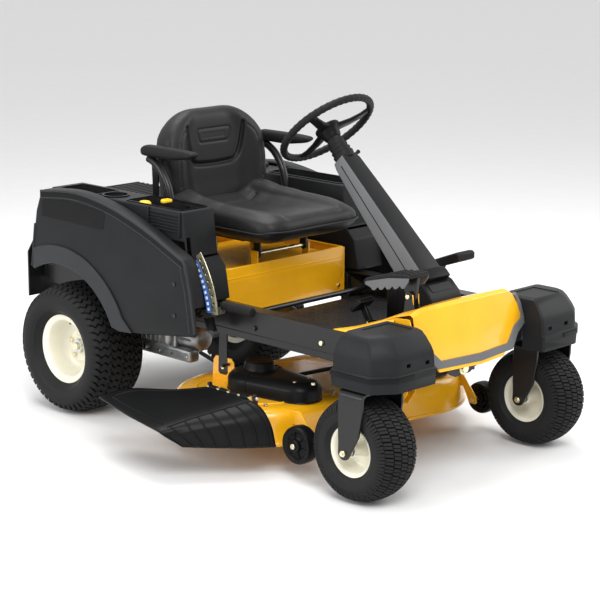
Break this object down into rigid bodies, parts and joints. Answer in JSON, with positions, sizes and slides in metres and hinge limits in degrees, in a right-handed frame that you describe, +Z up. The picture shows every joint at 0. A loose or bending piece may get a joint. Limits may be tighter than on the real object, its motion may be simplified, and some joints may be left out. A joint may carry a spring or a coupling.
{
  "type": "riding lawn mower",
  "caption": "Ride-on zero-turn mower with a steering wheel, caster front wheels, side-discharge deck between the axles, padded seat and rear engine",
  "frame": {"origin": "centre of the machine's bounding box on the ground", "axes": "+Y to the rear, +X to the mower's left side, +Z up; it drives towards -Y"},
  "size_m": [1.3147, 1.96, 1.1618],
  "materials": {
    "yellow_paint": "gloss coat",
    "black_plastic": "fine textured",
    "grey_plastic": "fine textured",
    "black_steel": "semi-gloss coat",
    "tyre": "moulded",
    "grip_rubber": "matte",
    "cream_paint": "gloss coat",
    "seat_vinyl": "grained",
    "cast_metal": "as cast",
    "zinc": "yellow passivated",
    "yellow_plastic": "moulded",
    "white_strip": "printed strip",
    "blue_strip": "printed strip",
    "bright_steel": "turned"
  },
  "bodies": {
    "chassis": {"front_crossmember": "black_steel", "right_frame_rail": "black_steel", "left_frame_rail": "black_steel", "engine_plate": "black_steel", "rear_bumper": "black_steel", "floor_pan": "black_plastic", "seat_box": "yellow_paint", "battery": "black_plastic", "hood": "yellow_paint", "right_caster_cover": "black_plastic", "left_caster_cover": "black_plastic", "right_fender": "black_plastic", "left_fender": "black_plastic", "fuel_tank": "grip_rubber", "steering_column": "grey_plastic", "engine_block": "cast_metal", "engine_cover": "black_plastic", "right_transaxle": "cast_metal", "left_transaxle": "cast_metal", "lift_quadrant": "zinc"},
    "rear_right_wheel": {"rear_right_rim": "cream_paint", "rear_right_tyre": "tyre"},
    "rear_left_wheel": {"rear_left_rim": "cream_paint", "rear_left_tyre": "tyre"},
    "right_caster": {"right_caster_fork": "black_steel"},
    "left_caster": {"left_caster_fork": "black_steel"},
    "front_right_wheel": {"front_right_rim": "cream_paint", "front_right_tyre": "tyre"},
    "front_left_wheel": {"front_left_rim": "cream_paint", "front_left_tyre": "tyre"},
    "steering": {"steering_wheel": "grip_rubber"},
    "forward_treadle": {"forward_pedal": "grip_rubber"},
    "reverse_treadle": {"reverse_pedal": "grip_rubber"},
    "brake": {"brake_pedal": "grip_rubber"},
    "pto": {"pto_knob": "yellow_plastic"},
    "throttle": {"throttle_lever": "yellow_plastic"},
    "key": {"ignition_key": "cast_metal"},
    "filler_cap": {"fuel_cap": "grip_rubber"},
    "lever": {"lift_lever": "zinc", "lift_grip": "grip_rubber"},
    "shaft": {"lift_shaft": "black_steel"},
    "front_link": {"front_lift_link": "black_steel"},
    "deck": {"deck_shell": "yellow_paint", "right_belt_cover": "black_plastic", "left_belt_cover": "black_plastic", "drive_belt": "grip_rubber"},
    "right_cutter": {"right_spindle": "cast_metal", "right_blade": "black_steel"},
    "left_cutter": {"left_spindle": "cast_metal", "left_blade": "black_steel"},
    "clutch": {"engine_pulley": "cast_metal"},
    "right_scalp": {"right_anti_scalp_wheel": "grip_rubber"},
    "left_scalp": {"left_anti_scalp_wheel": "grip_rubber"},
    "chute": {"discharge_chute": "black_plastic"},
    "seat_tilt_base": {"seat_base": "black_steel"},
    "seat": {"seat_frame": "black_steel", "seat_cushion": "seat_vinyl", "seat_back": "seat_vinyl"},
    "right_arm": {"right_armrest": "grip_rubber"},
    "left_arm": {"left_armrest": "grip_rubber"}
  },
  "joints": [
    {"name": "rear_right_roll", "type": "hinge", "parent": "chassis", "child": "rear_right_wheel", "pos_m": [-0.2945, 0.556, 0.2286], "axis": [1, 0, 0], "continuous": true},
    {"name": "rear_left_roll", "type": "hinge", "parent": "chassis", "child": "rear_left_wheel", "pos_m": [0.5095, 0.556, 0.2286], "axis": [1, 0, 0], "continuous": true},
    {"name": "right_caster_steer", "type": "hinge", "parent": "chassis", "child": "right_caster", "pos_m": [-0.3125, -0.859, 0.35], "axis": [0, 0, 1], "range_deg": [-50, 50]},
    {"name": "left_caster_steer", "type": "hinge", "parent": "chassis", "child": "left_caster", "pos_m": [0.5275, -0.859, 0.35], "axis": [0, 0, 1], "range_deg": [-50, 50]},
    {"name": "front_right_roll", "type": "hinge", "parent": "right_caster", "child": "front_right_wheel", "pos_m": [-0.3125, -0.815, 0.165], "axis": [1, 0, 0], "continuous": true},
    {"name": "front_left_roll", "type": "hinge", "parent": "left_caster", "child": "front_left_wheel", "pos_m": [0.5275, -0.815, 0.165], "axis": [1, 0, 0], "continuous": true},
    {"name": "steering_turn", "type": "hinge", "parent": "chassis", "child": "steering", "pos_m": [0.1075, -0.244, 1.04], "axis": [0, 0.682, 0.7314], "range_deg": [-101, 101]},
    {"name": "forward_press", "type": "hinge", "parent": "chassis", "child": "forward_treadle", "pos_m": [-0.0925, -0.802, 0.599], "axis": [-1, 0, 0], "range_deg": [0, 15], "stiffness_Nm_per_rad": 8, "springref_deg": -8.59},
    {"name": "reverse_press", "type": "hinge", "parent": "chassis", "child": "reverse_treadle", "pos_m": [-0.0525, -0.594, 0.47], "axis": [1, 0, 0], "range_deg": [0, 12], "stiffness_Nm_per_rad": 3, "springref_deg": -11.46},
    {"name": "brake_press", "type": "hinge", "parent": "chassis", "child": "brake", "pos_m": [0.3075, -0.524, 0.47], "axis": [1, 0, 0], "range_deg": [0, 20], "stiffness_Nm_per_rad": 8, "springref_deg": -11.46},
    {"name": "pto_pull", "type": "slide", "parent": "chassis", "child": "pto", "axis": [0, 0, 1], "range_m": [0, 0.012]},
    {"name": "throttle_move", "type": "hinge", "parent": "chassis", "child": "throttle", "pos_m": [-0.2675, 0.131, 0.7583], "axis": [1, 0, 0], "range_deg": [-25, 25]},
    {"name": "key_turn", "type": "hinge", "parent": "chassis", "child": "key", "pos_m": [-0.2375, 0.056, 0.7523], "axis": [0, 0, 1], "range_deg": [0, 90]},
    {"name": "fuel_cap_turn", "type": "hinge", "parent": "chassis", "child": "filler_cap", "pos_m": [0.4925, 0.496, 0.8003], "axis": [0, 0, 1], "range_deg": [0, 120]},
    {"name": "deck_lift", "type": "slide", "parent": "chassis", "child": "deck", "axis": [0, 0, 1], "range_m": [-0.048, 0]},
    {"name": "lift_lever_turn", "type": "hinge", "parent": "chassis", "child": "lever", "pos_m": [-0.3325, 0.216, 0.415], "axis": [-1, 0, 0], "range_deg": [0, 36]},
    {"name": "lift_shaft_turn", "type": "hinge", "parent": "chassis", "child": "shaft", "pos_m": [0.1075, -0.134, 0.436], "axis": [-1, 0, 0], "range_deg": [0, 36]},
    {"name": "front_link_turn", "type": "hinge", "parent": "chassis", "child": "front_link", "pos_m": [0.1075, -0.844, 0.352], "axis": [-1, 0, 0], "range_deg": [0, 9.5]},
    {"name": "right_cutter_spin", "type": "hinge", "parent": "deck", "child": "right_cutter", "pos_m": [-0.1575, -0.194, 0.108], "axis": [0, 0, 1], "continuous": true},
    {"name": "left_cutter_spin", "type": "hinge", "parent": "deck", "child": "left_cutter", "pos_m": [0.3725, -0.274, 0.108], "axis": [0, 0, 1], "continuous": true},
    {"name": "clutch_spin", "type": "hinge", "parent": "chassis", "child": "clutch", "pos_m": [0.1075, 0.536, 0.232], "axis": [0, 0, 1], "continuous": true},
    {"name": "right_scalp_roll", "type": "hinge", "parent": "deck", "child": "right_scalp", "pos_m": [-0.3125, -0.541, 0.112], "axis": [1, 0, 0], "continuous": true},
    {"name": "left_scalp_roll", "type": "hinge", "parent": "deck", "child": "left_scalp", "pos_m": [0.5275, -0.592, 0.11], "axis": [1, 0, 0], "continuous": true},
    {"name": "chute_hinge", "type": "hinge", "parent": "deck", "child": "chute", "pos_m": [-0.3705, -0.284, 0.24], "axis": [0, 1, 0], "range_deg": [0, 75]},
    {"name": "seat_tilt", "type": "hinge", "parent": "chassis", "child": "seat_tilt_base", "pos_m": [0.1075, -0.029, 0.603], "axis": [1, 0, 0], "range_deg": [0, 40]},
    {"name": "seat_slide", "type": "slide", "parent": "seat_tilt_base", "child": "seat", "axis": [0, -1, 0], "range_m": [-0.03, 0.06]},
    {"name": "right_armrest_flip", "type": "hinge", "parent": "seat", "child": "right_arm", "pos_m": [-0.166, 0.351, 0.925], "axis": [-1, 0, 0], "range_deg": [0, 80]},
    {"name": "left_armrest_flip", "type": "hinge", "parent": "seat", "child": "left_arm", "pos_m": [0.381, 0.351, 0.925], "axis": [-1, 0, 0], "range_deg": [0, 80]}
  ],
  "couplings": [
    {"joint": "left_caster_steer", "follows": "right_caster_steer", "ratio": 1},
    {"joint": "steering_turn", "follows": "right_caster_steer", "ratio": 2},
    {"joint": "lift_lever_turn", "follows": "deck_lift", "rad_per_m": -12.7},
    {"joint": "lift_shaft_turn", "follows": "deck_lift", "rad_per_m": -12.7},
    {"joint": "front_link_turn", "follows": "deck_lift", "rad_per_m": -3.32},
    {"joint": "left_cutter_spin", "follows": "right_cutter_spin", "ratio": 1},
    {"joint": "clutch_spin", "follows": "right_cutter_spin", "ratio": 1}
  ]
}
